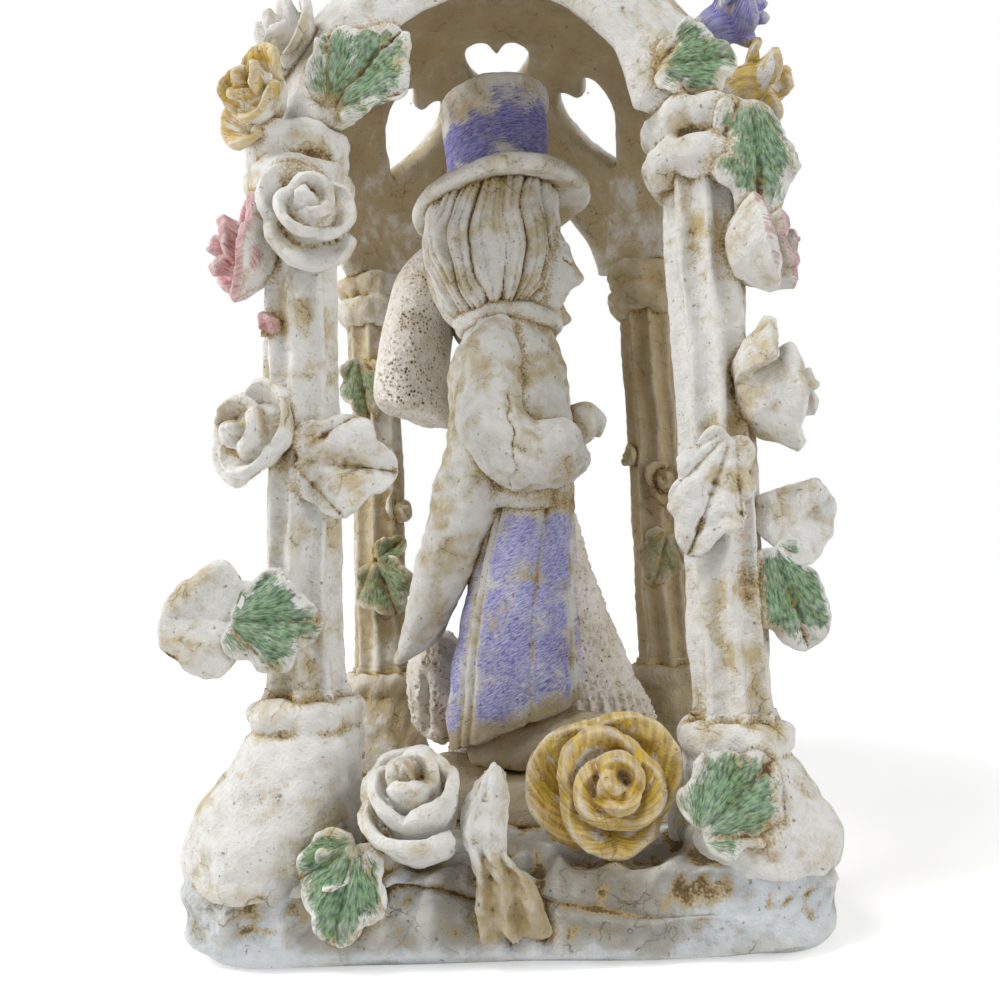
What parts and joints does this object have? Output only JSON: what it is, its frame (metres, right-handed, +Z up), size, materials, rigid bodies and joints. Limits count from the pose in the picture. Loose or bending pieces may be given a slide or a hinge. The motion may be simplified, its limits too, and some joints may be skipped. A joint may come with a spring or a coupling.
{
  "type": "wedding cake topper",
  "caption": "Cast resin cake topper: a couple under an arched gazebo with a heart-pierced dome, on a rocky base, with rose garlands on its columns.",
  "frame": {"origin": "on the base's underside, under the middle of the four columns", "axes": "+Z up, -Y towards the front that the picture shows, +X the way the couple face"},
  "size_m": [0.104, 0.1003, 0.1744],
  "materials": {
    "ivory_resin": "matt cast resin, antiqued with a brown wash",
    "shaded_resin": "matt cast resin, tan in the shade",
    "lace_resin": "matt cast resin with pitted lace relief",
    "green_paint": "dry-brushed green over ivory resin",
    "yellow_paint": "dry-brushed yellow over ivory resin",
    "pink_paint": "dry-brushed pink over ivory resin",
    "purple_paint": "brushed purple over ivory resin",
    "lilac_paint": "brushed lilac over ivory resin"
  },
  "bodies": {
    "root": {"base_plinth": "ivory_resin", "bride_arm": "ivory_resin", "bride_bodice": "lace_resin", "bride_hair": "shaded_resin", "bride_head": "ivory_resin", "bride_skirt": "lace_resin", "bride_veil": "lace_resin", "capital_back_left": "ivory_resin", "capital_back_right": "ivory_resin", "capital_front_left": "ivory_resin", "capital_front_right": "ivory_resin", "dome": "ivory_resin", "figure_mound": "shaded_resin", "flower_back_right": "ivory_resin", "groom_coat": "ivory_resin", "groom_collar": "ivory_resin", "groom_hair": "ivory_resin", "groom_head": "ivory_resin", "groom_shoe": "ivory_resin", "groom_sleeve": "ivory_resin", "groom_trousers": "lilac_paint", "hat_brim": "ivory_resin", "hat_crown": "purple_paint", "joined_hands": "ivory_resin", "leaf_back_left": "green_paint", "leaf_back_right": "green_paint", "leaf_base_left": "green_paint", "leaf_base_right": "green_paint", "leaf_base_side": "ivory_resin", "leaf_folded": "ivory_resin", "leaf_ivory_small": "ivory_resin", "leaf_left_top": "green_paint", "leaf_right_long": "green_paint", "leaf_right_top": "green_paint", "leaf_white": "ivory_resin", "leaves_back_left_low": "green_paint", "leaves_left_low": "green_paint", "leaves_right_low": "green_paint", "pedestal_back_left": "ivory_resin", "pedestal_back_right": "ivory_resin", "pedestal_front_left": "ivory_resin", "pedestal_front_right": "ivory_resin", "rose_cream": "ivory_resin", "rose_cream_top": "ivory_resin", "rose_pink": "pink_paint", "rose_pink_edged": "ivory_resin", "rose_purple": "purple_paint", "rose_white": "ivory_resin", "rose_white_right": "ivory_resin", "rose_yellow": "yellow_paint", "rose_yellow_big": "yellow_paint", "rose_yellow_right": "yellow_paint", "rosebud_back_left": "ivory_resin", "rosebud_back_right": "ivory_resin", "rosebud_pink": "pink_paint", "rosebud_white": "ivory_resin", "shaft_back_left": "ivory_resin", "shaft_back_right": "ivory_resin", "shaft_front_left": "ivory_resin", "shaft_front_right": "ivory_resin"}
  },
  "joints": []
}
